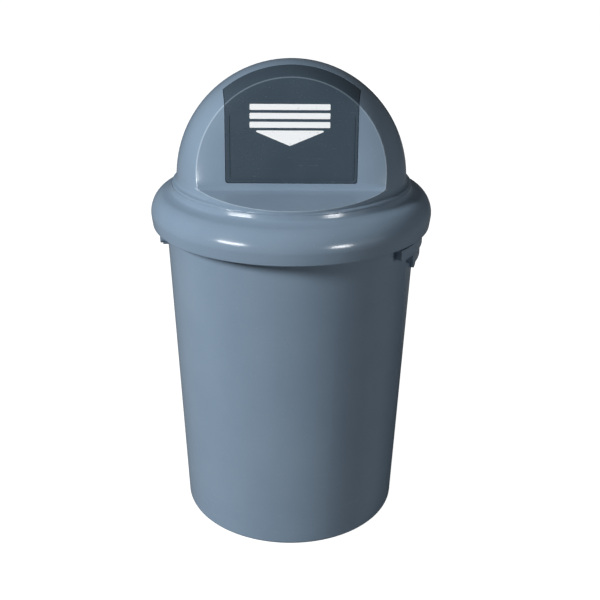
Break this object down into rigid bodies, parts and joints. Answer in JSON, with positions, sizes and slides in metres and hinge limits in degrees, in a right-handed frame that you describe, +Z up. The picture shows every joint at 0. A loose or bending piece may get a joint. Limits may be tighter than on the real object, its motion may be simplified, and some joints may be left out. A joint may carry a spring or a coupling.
{
  "type": "flip lid bin",
  "caption": "Round tapered waste bin with a lift-off domed lid, a push-in flap in the dome's flat front and a stepped handle each side.",
  "frame": {"origin": "on the ground under the middle of the base", "axes": "+Z up along the bin's axis, -Y out of the front that carries the flap, +X to the right as seen from behind the camera of the picture"},
  "size_m": [0.44, 0.44, 0.746],
  "materials": {
    "shell": "semi-gloss blue-grey moulded polypropylene",
    "flap": "satin slate moulded polypropylene with a plain white printed mark",
    "steel": "zinc-plated steel"
  },
  "bodies": {
    "bin": {"bin_body": "shell", "handle_right": "shell", "handle_left": "shell", "handle_screw_right_front": "steel", "handle_screw_right_rear": "steel", "handle_screw_left_front": "steel", "handle_screw_left_rear": "steel"},
    "lid": {"lid_collar": "shell", "dome_hood": "shell", "hood_screw_1": "steel", "hood_screw_2": "steel", "hood_screw_3": "steel", "hood_screw_4": "steel", "hood_screw_5": "steel"},
    "flap": {"swing_flap": "flap", "hinge_pin_right": "steel", "hinge_pin_left": "steel"}
  },
  "joints": [
    {"name": "lid_lift", "type": "slide", "parent": "bin", "child": "lid", "axis": [0, 0, 1], "range_m": [0, 0.1]},
    {"name": "flap_swing", "type": "hinge", "parent": "lid", "child": "flap", "pos_m": [0, -0.0801, 0.6776], "axis": [1, 0, 0], "range_deg": [0, 70]}
  ]
}
